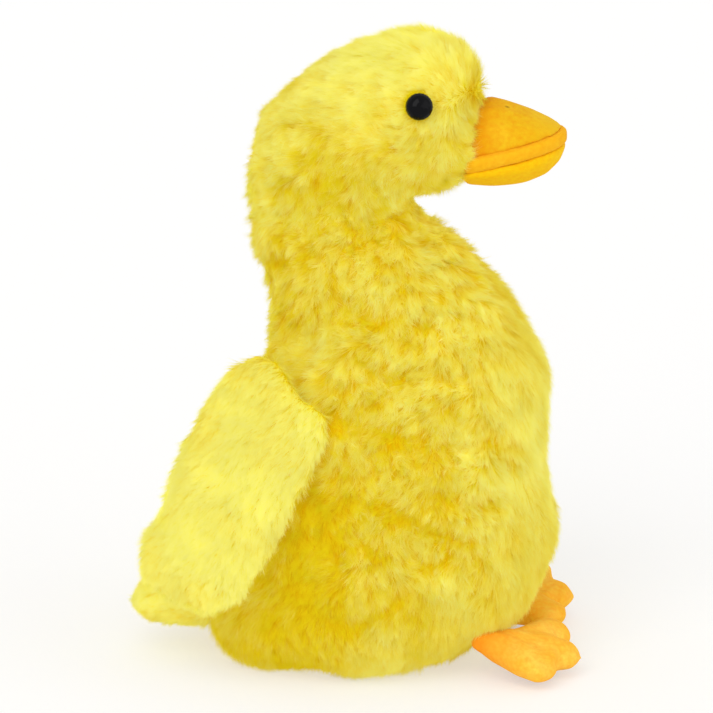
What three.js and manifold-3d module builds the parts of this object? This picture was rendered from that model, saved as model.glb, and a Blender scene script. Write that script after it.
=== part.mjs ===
// Plush gosling that sits upright: furry yellow body, head, wings and tail, velvety orange bill and feet.
// Millimetres, +Z up, +X forward, +Y to its left. The origin is the centre of the base panel, on the floor.
import * as THREE from "three";
import { mergeVertices } from "three/addons/utils/BufferGeometryUtils.js";
import Module from "manifold-3d";

const wasm = await Module();
wasm.setup();

// Cloth thicknesses and clearances
const FUR = 7;
const VELVET = 3;
const GAP = 0.4;

// Body: horizontal sections, each from its back to its front, narrowing to a round neck
const BASE_PANEL_RADIUS = 43;
const BODY_SECTIONS = [
  { height: 0, back: -48, front: 47, halfWidth: 52 },
  { height: 12, back: -64, front: 65, halfWidth: 65 },
  { height: 30, back: -73, front: 84.5, halfWidth: 73 },
  { height: 55, back: -73, front: 93, halfWidth: 77 },
  { height: 90, back: -63, front: 89.5, halfWidth: 75 },
  { height: 125, back: -51, front: 89, halfWidth: 69 },
  { height: 150, back: -43.5, front: 84, halfWidth: 62 },
  { height: 175, back: -44, front: 67.5, halfWidth: 54 },
  { height: 195, back: -49, front: 51, halfWidth: 46 },
  { height: 206, back: -50, front: 38, halfWidth: 40 },
];
const SHOULDER_ROW = 7; // the section above which the body has no folds
const BODY_SIDES = 24;
const BODY_LEVELS = 20; // up to the shoulder
const SHOULDER_LEVELS = 3;
const BODY_LINING_SIDES = 16;
const BASE_PANEL_SIDES = 36;
const BODY_LINING_LEVELS = 6;
const TRUNK_LEVELS = 12;
const TRUNK_CLEARANCE = 0.9;

// Folds in the body's cloth on both sides: angles from the front, and the heights between which a fold runs
const FOLDS = [
  { from: 38, to: 122, low: 112, high: 127, depth: 4 },
  { from: 55, to: 102, low: 71, high: 93, depth: 3.5 },
  { from: 50, to: 112, low: 59, high: 68, depth: 3 },
  { from: 62, to: 116, low: 146, high: 154, depth: 3.5 },
  { from: 60, to: 120, low: 171, high: 171, depth: 3 },
  { from: 88, to: 128, low: 33, high: 52, depth: 3 },
];
const FOLD_WIDTH = 5.5;

// Neck: a ball joint of stuffing, so that the head can nod and turn about its centre
const NECK_X = -12;
const NECK_HEIGHT = 185;
const NECK_RADIUS = 42;
const NECK_DOME_ANGLE = 48; // above the neck's equator, where the body becomes a round dome
const NECK_CLEARANCE = 1.4;
const NECK_BALL = NECK_RADIUS / 2;
const NECK_STEM = 14;
const NECK_STEM_REACH = 66;
const NECK_STEM_SIDES = 14;
const NECK_HOLE_SIDES = 20;
const NOD_UP = -15;
const NOD_DOWN = 8;
const TURN = 25;

// Head: sections along a line that bends up and then forward to the face, measured from the neck's centre
const HEAD_SECTIONS = [
  { ahead: -5.5, rise: 5, heading: 95, halfDepth: 31, halfWidth: 34 },
  { ahead: -6.5, rise: 27, heading: 80, halfDepth: 36, halfWidth: 39 },
  { ahead: 3.8, rise: 51, heading: 55, halfDepth: 45.5, halfWidth: 43 },
  { ahead: 25, rise: 69.2, heading: 32, halfDepth: 41.5, halfWidth: 43 },
  { ahead: 43, rise: 75, heading: 12, halfDepth: 40, halfWidth: 41 },
  { ahead: 56, rise: 75, heading: 5, halfDepth: 35.5, halfWidth: 34 },
  { ahead: 66, rise: 75, heading: 0, halfDepth: 26, halfWidth: 24 },
  { ahead: 70, rise: 75.5, heading: 0, halfDepth: 15.5, halfWidth: 14.5 },
];
const FACE_AHEAD = 71.5;
const HEAD_SIDES = 20;
const HEAD_LEVELS = 12;
const COLLAR_RISE = 30.5; // of the head cover's lower edge, on the neck's axis
const COLLAR_TILT = 6; // lower at the back

// Eyes: a plastic dome on a shank that goes through the cloth and is held by a washer
const EYE_SIDES = 20;
const EYE_RADIUS = 6.2;
const EYE_DOME = 4.2;
const EYE_SINK = 1.5; // of its back under its rim
const EYE_BED = 1.5; // of its rim under the fur
const EYE_SHANK_RADIUS = 2;
const EYE_SHANK = 12;
const EYE_SECTION = 3.84; // between the head sections, counted from 0
const EYE_ANGLE = 78; // round the section, from its top
const WASHER_RADIUS = 6;
const WASHER_THICKNESS = 1.5;

// Bill: an upper and a lower half on a mouth plane that rises towards the tip, rooted back in the head
const MOUTH_AHEAD = 62; // of the neck's centre
const MOUTH_RISE = 54; // above the neck's centre
const MOUTH_SLOPE = 13;
const UPPER_BILL = { length: 44.5, halfWidth: 25, depth: 27.5, lining: 2.5, root: 16 };
const LOWER_BILL = { length: 45, halfWidth: 27, depth: 22.5, lining: 5, root: 6 };
const LOWER_BILL_PINCH = 0.45; // share of its depth that is lost at the chin
const BILL_OPEN = 18;
const BILL_SIDES = 12;
const BILL_SHARES = [0, 0.25, 0.5, 0.72, 0.88, 0.97]; // of its length, where it has sections

// Wings, tail and toes: flat stuffed paddles, each from its root
const WING = { length: 130, halfWidth: 37, halfThickness: 10.5, squareness: 3, taper: -0.05 };
const RIGHT_WING_ROOT = new THREE.Vector3(-33, -46, 142);
const RIGHT_WING_SWEEP = 19;
const LEFT_WING_ROOT = new THREE.Vector3(-27, -50, 124); // as for a right wing; it droops, further forward
const LEFT_WING_SWEEP = 9;
const WING_INSET = 14; // of the root into the shoulder
const WING_FLARE = 24;
const WING_YAW = 28;
const WING_IN = -5;
const WING_OUT = 60;
const WING_SIDES = 12;
const WING_STEPS = 8;
const TAIL = { length: 58, halfWidth: 26, halfThickness: 13, squareness: 2.4, taper: -0.25 };
const TAIL_TIP_X = -108;
const TAIL_TIP_HEIGHT = 28;
const TAIL_RISE = 6;
const TAIL_REACH = 34; // from the hinge to the tip
const TAIL_DOWN = -8;
const TAIL_UP = 20;
const TAIL_SIDES = 10;
const TAIL_STEPS = 7;
const TOE = { halfWidth: 12, halfThickness: 6.8, squareness: 2.4, taper: 0.25 };
const TOES = [
  { fan: -30, length: 45 },
  { fan: 0, length: 53 },
  { fan: 31, length: 56 },
];
const TOE_SIDES = 8;
const TOE_STEPS = 5;
const WEB_REACH = 42;
const WEB_THICKNESS = 9;
const HEEL = new THREE.Vector3(50, -43, 15.5);
const FOOT_IN = 2;
const RIGHT_FOOT = { pitch: 7.5, roll: 6 }; // down to the toe tips, and down to the outer side
const LEFT_FOOT = { pitch: 5, roll: -5 };
const FOOT_HINGE = new THREE.Vector3(55, -43, 15.5);
const FOOT_UP = 20;

// Pellet bag: the weight in the base
const PELLET_BAG_RADIUS = 40;
const PELLET_BAG_HEIGHT = 26;
const PELLET_BAG_SIDES = 18;

const UP = new THREE.Vector3(0, 0, 1);
const FORWARD = new THREE.Vector3(1, 0, 0);
const LEFT = new THREE.Vector3(0, 1, 0);
const EVERYTHING = 800;
const radians = THREE.MathUtils.degToRad;

// Meshes and solids

// The closed solid of a geometry, with its shared vertices merged and its empty triangles left out.
function solid(geometry) {
  const bare = new THREE.BufferGeometry();
  bare.setAttribute("position", geometry.getAttribute("position"));
  bare.setIndex(geometry.index);
  const merged = mergeVertices(bare, 1e-4);
  const corners = merged.index.array;
  const kept = [];
  for (let i = 0; i < corners.length; i += 3) {
    const [a, b, c] = corners.slice(i, i + 3);
    if (a !== b && b !== c && c !== a) kept.push(a, b, c);
  }
  return new wasm.Manifold(
    new wasm.Mesh({
      numProp: 3,
      vertProperties: merged.attributes.position.array,
      triVerts: new Uint32Array(kept),
    }),
  );
}

function geometryOf(piece) {
  const mesh = piece.getMesh();
  const geometry = new THREE.BufferGeometry();
  geometry.setAttribute("position", new THREE.BufferAttribute(mesh.vertProperties, 3));
  geometry.setIndex(new THREE.BufferAttribute(mesh.triVerts, 1));
  geometry.computeVertexNormals();
  return geometry;
}

// A closed tube through elliptical sections, each square to its own heading, ending in two points.
// A section may be drawn in by a distance that depends on the turn round it.
function loft(sections, first, last, sides) {
  const points = [];
  for (const { centre, along, across, halfAcross, halfSide, inset = () => 0 } of sections) {
    const side = along.clone().cross(across);
    for (let j = 0; j < sides; j++) {
      const turn = (2 * Math.PI * j) / sides;
      const point = centre.clone().addScaledVector(across, (halfAcross - inset(turn)) * Math.cos(turn));
      points.push(point.addScaledVector(side, (halfSide - inset(turn)) * Math.sin(turn)));
    }
  }
  const start = points.push(first) - 1;
  const end = points.push(last) - 1;
  const faces = [];
  for (let j = 0; j < sides; j++) {
    const next = (j + 1) % sides;
    for (let i = 0; i + 1 < sections.length; i++) {
      const here = i * sides;
      const there = here + sides;
      faces.push(here + j, here + next, there + next, here + j, there + next, there + j);
    }
    const rim = (sections.length - 1) * sides;
    faces.push(start, next, j, end, rim + j, rim + next);
  }
  const geometry = new THREE.BufferGeometry().setFromPoints(points);
  geometry.setIndex(faces);
  return geometry;
}

// A copy of a form, swollen along its normals.
function swollen(form, distance) {
  const geometry = form.clone();
  geometry.computeVertexNormals();
  const { position, normal } = geometry.attributes;
  const point = new THREE.Vector3();
  const outward = new THREE.Vector3();
  for (let i = 0; i < position.count; i++) {
    outward.fromBufferAttribute(normal, i);
    point.fromBufferAttribute(position, i).addScaledVector(outward, distance);
    position.setXYZ(i, ...point);
  }
  geometry.deleteAttribute("normal");
  return geometry;
}

// Sizes that run smoothly through rows of sizes, at any place between row 0 and the last.
function blended(rows, keys) {
  const places = rows.map((row, i) => i);
  const values = rows.flatMap((row) => keys.map((key) => row[key]));
  const spline = new THREE.CubicInterpolant(new Float32Array(places), new Float32Array(values), keys.length);
  return (place) => {
    const found = [...spline.evaluate(place)];
    return Object.fromEntries(keys.map((key, i) => [key, found[i]]));
  };
}

// Evenly spaced places from 0 to the end.
function spaced(end, count) {
  return Array.from({ length: count }, (_, i) => (i * end) / (count - 1));
}

// A box so large that it is all of space on the side of a plane that its normal points to.
function hugeBox(point, normal) {
  const centre = point.clone().addScaledVector(normal, EVERYTHING / 2);
  const turn = new THREE.Quaternion().setFromUnitVectors(UP, normal);
  const box = new THREE.BoxGeometry(EVERYTHING, EVERYTHING, EVERYTHING);
  return box.applyQuaternion(turn).translate(...centre);
}

function halfSpace(point, normal) {
  return solid(hugeBox(point, normal));
}

// A turn about an axis through a point.
function turnAbout(pivot, axis, degrees) {
  const turn = new THREE.Matrix4().makeRotationAxis(axis, radians(degrees));
  const there = new THREE.Matrix4().makeTranslation(pivot);
  const back = new THREE.Matrix4().makeTranslation(pivot.clone().negate());
  return there.multiply(turn).multiply(back);
}

// What is left of a piece after an obstacle is cut away at every pose that the piece takes.
function clearedOf(piece, obstacle, poses) {
  return poses.reduce((left, pose) => {
    const met = obstacle.clone().applyMatrix4(pose.clone().invert());
    return left.subtract(solid(met));
  }, piece);
}

function hingePoses(pivot, axis, angles) {
  return angles.map((angle) => turnAbout(pivot, axis, angle));
}

// Body

const neckCentre = new THREE.Vector3(NECK_X, 0, NECK_HEIGHT);

function level({ height, back, front, halfWidth }) {
  const centre = new THREE.Vector3((back + front) / 2, 0, height);
  return { centre, along: UP, across: FORWARD, halfAcross: (front - back) / 2, halfSide: halfWidth };
}

function domeLevel(angle) {
  const reach = NECK_RADIUS * Math.cos(radians(angle));
  const height = NECK_HEIGHT + NECK_RADIUS * Math.sin(radians(angle));
  return { height, back: NECK_X - reach, front: NECK_X + reach, halfWidth: reach };
}

// How far the folds draw the cloth in at a height, by the turn from the front.
function foldInset(height) {
  return (turn) => {
    const angle = THREE.MathUtils.radToDeg(Math.acos(Math.cos(turn)));
    const drawn = FOLDS.map(({ from, to, low, high, depth }) => {
      const share = THREE.MathUtils.clamp((angle - from) / (to - from), 0, 1);
      const away = height - THREE.MathUtils.lerp(low, high, share);
      return depth * Math.sqrt(Math.sin(Math.PI * share)) * Math.exp(-((away / FOLD_WIDTH) ** 2));
    });
    return Math.max(...drawn);
  };
}

// Sections of the trunk, from the base up to the ring where the dome begins.
function trunkSections(levels) {
  const rows = [...BODY_SECTIONS, domeLevel(NECK_DOME_ANGLE)];
  const at = blended(rows, ["height", "back", "front", "halfWidth"]);
  const shoulder = spaced(rows.length - 1 - SHOULDER_ROW, SHOULDER_LEVELS + 1).slice(1);
  const places = [...spaced(SHOULDER_ROW, levels), ...shoulder.map((place) => SHOULDER_ROW + place)];
  return places.map((place) => level(at(place)));
}

// The body up to its neck, flat on top and without folds.
function trunkForm(sides) {
  const sections = trunkSections(TRUNK_LEVELS);
  return loft(sections, new THREE.Vector3(), sections.at(-1).centre, sides);
}

function bodyWithNeck(trunk, sides) {
  const rise = (90 - NECK_DOME_ANGLE) / 3;
  const dome = [1, 2].map((step) => level(domeLevel(NECK_DOME_ANGLE + step * rise)));
  const top = new THREE.Vector3(NECK_X, 0, NECK_HEIGHT + NECK_RADIUS);
  return loft([...trunk, ...dome], new THREE.Vector3(), top, sides);
}

function bodyForm() {
  const folded = (section) => ({ ...section, inset: foldInset(section.centre.z) });
  return bodyWithNeck(trunkSections(BODY_LEVELS).map(folded), BODY_SIDES);
}

// The plainer form inside the body's cover.
function bodyLiningForm(wall) {
  return swollen(bodyWithNeck(trunkSections(BODY_LINING_LEVELS), BODY_LINING_SIDES), -wall);
}

// The hollow in the head that turns on the body's dome.
function neckSocket() {
  const dome = new THREE.SphereGeometry(NECK_RADIUS + NECK_CLEARANCE, BODY_SIDES, 12);
  return solid(dome.rotateX(Math.PI / 2).translate(...neckCentre));
}

const trunkObstacle = swollen(trunkForm(BODY_SIDES), TRUNK_CLEARANCE);
const shoulderObstacle = swollen(trunkForm(BODY_LINING_SIDES), NECK_CLEARANCE);

// Stuffing of the neck: a ball in the body, with a stem up into the head.
function neckProfile(clearance) {
  const ball = NECK_BALL + clearance;
  const stem = NECK_STEM + clearance;
  const top = NECK_STEM_REACH + clearance;
  const meet = Math.acos(stem / ball);
  const profile = [];
  const arcSteps = 6;
  for (let i = 0; i <= arcSteps; i++) {
    const turn = -Math.PI / 2 + (i * (meet + Math.PI / 2)) / arcSteps;
    profile.push(new THREE.Vector2(i ? ball * Math.cos(turn) : 0, ball * Math.sin(turn)));
  }
  profile.push(new THREE.Vector2(stem, top - stem));
  profile.push(new THREE.Vector2(stem * Math.SQRT1_2, top - stem * (1 - Math.SQRT1_2)));
  profile.push(new THREE.Vector2(0, top));
  return profile;
}

function neckForm(clearance) {
  const upright = new THREE.LatheGeometry(neckProfile(clearance), NECK_STEM_SIDES).rotateX(Math.PI / 2);
  return upright.translate(...neckCentre);
}

// The hole in the body's dome, wide enough for the stem to lean as the head nods.
function neckOpening() {
  const lean = radians(Math.max(-NOD_UP, NOD_DOWN));
  const height = NECK_RADIUS + FUR;
  const narrow = NECK_STEM / Math.cos(lean) + NECK_CLEARANCE;
  const hole = new THREE.CylinderGeometry(narrow + height * Math.tan(lean), narrow, height, NECK_HOLE_SIDES);
  const middle = neckCentre.clone().addScaledVector(UP, height / 2);
  return solid(hole.rotateX(Math.PI / 2).translate(...middle));
}

// The hollow in the body's filling that the neck's ball turns in.
function neckRoom() {
  const room = new THREE.SphereGeometry(NECK_BALL + NECK_CLEARANCE, NECK_STEM_SIDES, 10);
  return solid(room.rotateX(Math.PI / 2).translate(...neckCentre));
}

function basePanel(clearance) {
  const radius = BASE_PANEL_RADIUS + clearance;
  const disc = new THREE.CylinderGeometry(radius, radius, FUR, BASE_PANEL_SIDES);
  return disc.rotateX(Math.PI / 2).translate(0, 0, FUR / 2);
}

function pelletBag(clearance) {
  const radius = PELLET_BAG_RADIUS + clearance;
  const half = PELLET_BAG_HEIGHT / 2 + clearance;
  const bag = new THREE.SphereGeometry(1, PELLET_BAG_SIDES, 8).scale(radius, half, radius);
  return bag.rotateX(Math.PI / 2).translate(0, 0, FUR + GAP + PELLET_BAG_HEIGHT / 2);
}

function bodyPieces() {
  const aboveBase = (wall) => {
    const floor = halfSpace(new THREE.Vector3(0, 0, wall), UP.clone().negate());
    return solid(bodyLiningForm(wall)).subtract(floor);
  };
  const cover = solid(bodyForm())
    .subtract(aboveBase(FUR))
    .subtract(solid(basePanel(GAP)))
    .subtract(neckOpening());
  const filling = aboveBase(FUR + GAP)
    .subtract(neckRoom())
    .subtract(neckOpening())
    .subtract(solid(pelletBag(GAP)));
  return { cover, filling };
}

// Head

function headSection({ ahead, rise, heading, halfDepth, halfWidth }) {
  const along = new THREE.Vector3(Math.cos(radians(heading)), 0, Math.sin(radians(heading)));
  const across = new THREE.Vector3(-along.z, 0, along.x);
  const centre = neckCentre.clone().add(new THREE.Vector3(ahead, 0, rise));
  return { centre, along, across, halfAcross: halfDepth, halfSide: halfWidth };
}

const headAt = blended(HEAD_SECTIONS, ["ahead", "rise", "heading", "halfDepth", "halfWidth"]);

function headForm() {
  const places = spaced(HEAD_SECTIONS.length - 1, HEAD_LEVELS);
  const sections = places.map((place) => headSection(headAt(place)));
  const last = sections.at(-1);
  const face = new THREE.Vector3(NECK_X + FACE_AHEAD, 0, last.centre.z);
  return loft(sections, sections[0].centre, face, HEAD_SIDES);
}

const head = headForm();
const headObstacle = swollen(head, GAP);

// Nods from one end to the other, each with the head ahead and turned as far as it goes.
function headPoses() {
  const poses = [];
  for (const nod of [NOD_UP, NOD_UP / 2, 0, NOD_DOWN]) {
    for (const turn of [-TURN, 0, TURN]) {
      const turned = turnAbout(neckCentre, UP, turn);
      poses.push(turnAbout(neckCentre, LEFT, nod).multiply(turned));
    }
  }
  return poses;
}

// The spot on the head where the right eye sits, and the way it looks.
function eyeSeat() {
  const onHead = (place, angle) => {
    const section = headSection(headAt(place));
    const side = section.along.clone().cross(section.across);
    const point = section.centre.clone();
    point.addScaledVector(section.across, section.halfAcross * Math.cos(radians(angle)));
    return point.addScaledVector(side, section.halfSide * Math.sin(radians(angle)));
  };
  const small = 0.01;
  const spot = onHead(EYE_SECTION, EYE_ANGLE);
  const forward = onHead(EYE_SECTION + small, EYE_ANGLE).sub(spot);
  const round = onHead(EYE_SECTION, EYE_ANGLE + 1).sub(spot);
  const outward = round.cross(forward).normalize();
  return { spot: spot.addScaledVector(outward, -EYE_BED), outward };
}

const eye = eyeSeat();

// A piece turned about the eye's own axis, set on the head.
function onEye(profile) {
  const turn = new THREE.Quaternion().setFromUnitVectors(LEFT, eye.outward);
  return new THREE.LatheGeometry(profile, EYE_SIDES).applyQuaternion(turn).translate(...eye.spot);
}

function eyeForm(clearance) {
  const radius = EYE_RADIUS + clearance;
  const shank = EYE_SHANK_RADIUS + clearance;
  const back = -EYE_SINK - clearance;
  const profile = [
    new THREE.Vector2(0, back - EYE_SHANK),
    new THREE.Vector2(shank, back - EYE_SHANK),
    new THREE.Vector2(shank, back),
    new THREE.Vector2(radius, back),
  ];
  const arcSteps = 5;
  for (let i = 0; i <= arcSteps; i++) {
    const turn = (i * Math.PI) / 2 / arcSteps;
    const across = i < arcSteps ? radius * Math.cos(turn) : 0;
    profile.push(new THREE.Vector2(across, (EYE_DOME + clearance) * Math.sin(turn)));
  }
  return onEye(profile);
}

function washerForm(clearance) {
  const bore = EYE_SHANK_RADIUS + GAP - clearance;
  const rim = WASHER_RADIUS + clearance;
  const outer = EYE_BED - FUR - GAP + clearance;
  const inner = EYE_BED - FUR - GAP - WASHER_THICKNESS - clearance;
  const corners = [
    [bore, inner],
    [rim, inner],
    [rim, outer],
    [bore, outer],
    [bore, inner],
  ];
  return onEye(corners.map(([across, along]) => new THREE.Vector2(across, along)));
}

function mirrored(geometry) {
  const copy = geometry.clone().scale(1, -1, 1);
  const corners = copy.index.array;
  for (let i = 0; i < corners.length; i += 3) {
    [corners[i + 1], corners[i + 2]] = [corners[i + 2], corners[i + 1]];
  }
  return copy;
}

function headPieces() {
  const collarPoint = neckCentre.clone().addScaledVector(UP, COLLAR_RISE);
  const downward = new THREE.Vector3(Math.sin(radians(COLLAR_TILT)), 0, -Math.cos(radians(COLLAR_TILT)));
  const below = halfSpace(collarPoint, downward);
  const eyeRooms = [eyeForm(GAP), washerForm(GAP)].flatMap((room) => [room, mirrored(room)]);
  const finish = (piece) => {
    const clear = clearedOf(piece.subtract(below).subtract(neckSocket()), shoulderObstacle, headPoses());
    return eyeRooms.reduce((left, room) => left.subtract(solid(room)), clear);
  };
  const cover = finish(solid(head).subtract(solid(swollen(head, -FUR))));
  const filling = finish(solid(swollen(head, -FUR - GAP))).subtract(solid(neckForm(GAP)));
  return { cover, filling };
}

// Bill

const mouth = neckCentre.clone().add(new THREE.Vector3(MOUTH_AHEAD, 0, MOUTH_RISE));
const mouthTurn = new THREE.Matrix4().makeRotationY(radians(-MOUTH_SLOPE)).setPosition(mouth);

// One half of the bill as a full round form about the mouth plane, which is cut in two afterwards.
function billForm(shape, depthAt, wall) {
  const length = shape.length - wall;
  const sections = [-shape.root / length, ...BILL_SHARES].map((share) => {
    const ahead = Math.max(share, 0);
    return {
      centre: new THREE.Vector3(share * length, 0, 0),
      along: FORWARD,
      across: UP,
      halfAcross: (shape.depth - wall) * depthAt(ahead),
      halfSide: (shape.halfWidth - wall) * Math.sqrt(1 - ahead ** 3),
    };
  });
  const tip = new THREE.Vector3(length, 0, 0);
  return loft(sections, sections[0].centre, tip, BILL_SIDES).applyMatrix4(mouthTurn);
}

const upperDepth = (share) => (1 - share ** 1.3) ** 0.85;
const lowerDepth = (share) => Math.sqrt(1 - share ** 3) * (1 - LOWER_BILL_PINCH * (1 - share) ** 2);

// Cover, filling and mouth lining of a half that lies on one side of the mouth plane.
function billHalf(shape, depthAt, away, poses) {
  const inMouth = (distance) => mouth.clone().addScaledVector(away, distance);
  const kept = (piece, distance) => {
    const beyond = hugeBox(inMouth(distance), away.clone().negate());
    return clearedOf(clearedOf(piece, beyond, poses), headObstacle, poses);
  };
  const outer = solid(billForm(shape, depthAt, 0));
  const inner = solid(billForm(shape, depthAt, VELVET));
  const stuffed = solid(billForm(shape, depthAt, VELVET + GAP));
  const behindLining = GAP / 2 + shape.lining;
  return {
    cover: kept(outer.subtract(inner), behindLining + GAP),
    filling: kept(stuffed, behindLining + GAP),
    lining: kept(outer, GAP / 2).subtract(halfSpace(inMouth(behindLining), away)),
  };
}

// Wings, tail and feet

// A flat stuffed form along +X from its root, as wide as Y and as thick as Z.
function paddle(shape, wall, sides, steps) {
  const half = shape.length / 2;
  const sections = [];
  for (let i = 1; i < steps; i++) {
    const t = -Math.cos((i * Math.PI) / steps);
    const full = (1 - Math.abs(t) ** shape.squareness) ** (1 / shape.squareness);
    sections.push({
      centre: new THREE.Vector3(half + t * (half - wall), 0, 0),
      along: FORWARD,
      across: LEFT,
      halfAcross: (shape.halfWidth - wall) * full * (1 + shape.taper * t),
      halfSide: (shape.halfThickness - wall) * full,
    });
  }
  const root = new THREE.Vector3(wall, 0, 0);
  const tip = new THREE.Vector3(shape.length - wall, 0, 0);
  return loft(sections, root, tip, sides);
}

// Two cloth panels sewn round a filling, parted at the middle of the form's thickness.
function sewnPair(form, cloth, place, poses) {
  const middle = new THREE.Vector3().setFromMatrixPosition(place);
  const facing = new THREE.Vector3().setFromMatrixColumn(place, 2);
  const half = (way) => halfSpace(middle.clone().addScaledVector(way, -GAP / 2), way);
  const shell = clearedOf(form(0).subtract(form(cloth)), trunkObstacle, poses);
  return {
    upper: shell.subtract(half(facing.clone().negate())),
    lower: shell.subtract(half(facing)),
    filling: clearedOf(form(cloth + GAP), trunkObstacle, poses),
  };
}

// A right wing hangs from the shoulder, swept back, flared out and turned to lie along the body's side.
function wingPieces(shoulder, sweep) {
  const down = UP.clone().negate();
  const flared = turnAbout(new THREE.Vector3(), FORWARD, -WING_FLARE);
  const swept = turnAbout(new THREE.Vector3(), LEFT, sweep);
  const yawed = turnAbout(new THREE.Vector3(), UP, -WING_YAW);
  const turn = yawed.multiply(swept).multiply(flared);
  const along = down.transformDirection(turn);
  const across = FORWARD.clone().transformDirection(turn);
  const facing = along.clone().cross(across);
  const root = shoulder.clone().addScaledVector(along, -WING_INSET);
  const place = new THREE.Matrix4().makeBasis(along, across, facing).setPosition(root);
  const angles = [WING_IN, 0, WING_OUT / 3, (2 * WING_OUT) / 3, WING_OUT];
  const form = (wall) => solid(paddle(WING, wall, WING_SIDES, WING_STEPS).applyMatrix4(place));
  return sewnPair(form, FUR, place, hingePoses(shoulder, across.clone().negate(), angles));
}

function tailPieces() {
  const along = new THREE.Vector3(-Math.cos(radians(TAIL_RISE)), 0, Math.sin(radians(TAIL_RISE)));
  const across = LEFT.clone().negate();
  const facing = along.clone().cross(across);
  const tip = new THREE.Vector3(TAIL_TIP_X, 0, TAIL_TIP_HEIGHT);
  const root = tip.clone().addScaledVector(along, -TAIL.length);
  const place = new THREE.Matrix4().makeBasis(along, across, facing).setPosition(root);
  const hinge = tip.clone().addScaledVector(along, -TAIL_REACH);
  const angles = [TAIL_DOWN, 0, TAIL_UP / 2, TAIL_UP];
  const form = (wall) => solid(paddle(TAIL, wall, TAIL_SIDES, TAIL_STEPS).applyMatrix4(place));
  return sewnPair(form, FUR, place, hingePoses(hinge, LEFT, angles));
}

// The padded web of the foot: a flat fan from the heel.
function webForm() {
  const first = radians(TOES[0].fan);
  const last = radians(TOES.at(-1).fan);
  const fan = new THREE.Shape().moveTo(0, 0).absarc(0, 0, WEB_REACH, first, last);
  const size = { depth: WEB_THICKNESS, bevelEnabled: false, curveSegments: 6 };
  return new THREE.ExtrudeGeometry(fan, size).translate(0, 0, -WEB_THICKNESS / 2);
}

// A right foot: three stuffed toes and a web that fan out from one heel and slope down to the floor.
function footPieces({ pitch, roll }) {
  const inward = new THREE.Matrix4().makeRotationZ(radians(FOOT_IN));
  const downward = new THREE.Matrix4().makeRotationY(radians(pitch));
  const outward = new THREE.Matrix4().makeRotationX(radians(roll));
  const place = inward.multiply(downward).multiply(outward).setPosition(HEEL);
  const toes = (wall) =>
    TOES.map(({ fan, length }) => {
      const turned = place.clone().multiply(new THREE.Matrix4().makeRotationZ(radians(fan)));
      return solid(paddle({ ...TOE, length }, wall, TOE_SIDES, TOE_STEPS).applyMatrix4(turned));
    }).reduce((foot, toe) => foot.add(toe));
  const web = solid(webForm().applyMatrix4(place));
  const form = (wall) => (wall ? toes(wall) : toes(0).add(web));
  const poses = hingePoses(FOOT_HINGE, LEFT.clone().negate(), [0, FOOT_UP / 2, FOOT_UP]);
  return sewnPair(form, VELVET, place, poses);
}

// Materials

function material(colour, roughness) {
  return new THREE.MeshStandardMaterial({ color: colour, roughness, metalness: 0 });
}

const fur = material(0xf6e13a, 0.95);
const velvet = material(0xffae1c, 0.9);
const velvetLining = material(0xffc04a, 0.9);
const fibre = material(0xf4f2ec, 1);
const canvas = material(0xd9d4c5, 1);
const eyePlastic = material(0x050507, 0.12);
const washerPlastic = material(0xe9e9e4, 0.5);

// Assembly

const gosling = new THREE.Group();

function add(group, name, shape, look) {
  const geometry = shape.isBufferGeometry ? shape : geometryOf(shape);
  const mesh = new THREE.Mesh(geometry, look);
  mesh.name = name;
  group.add(mesh);
}

const rightSide = new THREE.Group();
const leftSide = new THREE.Group();
leftSide.scale.y = -1;
gosling.add(rightSide, leftSide);

function addPair(name, shape, look) {
  add(rightSide, `right_${name}`, shape, look);
  add(leftSide, `left_${name}`, shape, look);
}

const bodyParts = bodyPieces();
add(gosling, "body_cover", bodyParts.cover, fur);
add(gosling, "body_filling", bodyParts.filling, fibre);
add(gosling, "base_panel", basePanel(0), fur);
add(gosling, "pellet_bag", pelletBag(0), canvas);
add(gosling, "neck_filling", neckForm(0), fibre);

const headParts = headPieces();
add(gosling, "head_cover", headParts.cover, fur);
add(gosling, "head_filling", headParts.filling, fibre);
addPair("eye", eyeForm(0), eyePlastic);
addPair("eye_washer", washerForm(0), washerPlastic);

const mouthUp = UP.clone().transformDirection(mouthTurn);
const stillPose = [new THREE.Matrix4()];
const openPoses = hingePoses(mouth, LEFT, [0, BILL_OPEN / 2, BILL_OPEN]);
const upperBill = billHalf(UPPER_BILL, upperDepth, mouthUp, stillPose);
add(gosling, "upper_bill_cover", upperBill.cover, velvet);
add(gosling, "upper_bill_filling", upperBill.filling, fibre);
add(gosling, "upper_bill_lining", upperBill.lining, velvetLining);
const lowerBill = billHalf(LOWER_BILL, lowerDepth, mouthUp.clone().negate(), openPoses);
add(gosling, "lower_bill_cover", lowerBill.cover, velvet);
add(gosling, "lower_bill_filling", lowerBill.filling, fibre);
add(gosling, "lower_bill_lining", lowerBill.lining, velvetLining);

const rightWing = wingPieces(RIGHT_WING_ROOT, RIGHT_WING_SWEEP);
add(rightSide, "right_wing_outer_panel", rightWing.upper, fur);
add(rightSide, "right_wing_inner_panel", rightWing.lower, fur);
add(rightSide, "right_wing_filling", rightWing.filling, fibre);

const leftWing = wingPieces(LEFT_WING_ROOT, LEFT_WING_SWEEP);
add(leftSide, "left_wing_outer_panel", leftWing.upper, fur);
add(leftSide, "left_wing_inner_panel", leftWing.lower, fur);
add(leftSide, "left_wing_filling", leftWing.filling, fibre);

const tail = tailPieces();
add(gosling, "tail_upper_panel", tail.upper, fur);
add(gosling, "tail_lower_panel", tail.lower, fur);
add(gosling, "tail_filling", tail.filling, fibre);

const rightFoot = footPieces(RIGHT_FOOT);
add(rightSide, "right_foot_upper", rightFoot.upper, velvet);
add(rightSide, "right_foot_sole", rightFoot.lower, velvet);
add(rightSide, "right_foot_filling", rightFoot.filling, fibre);

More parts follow.
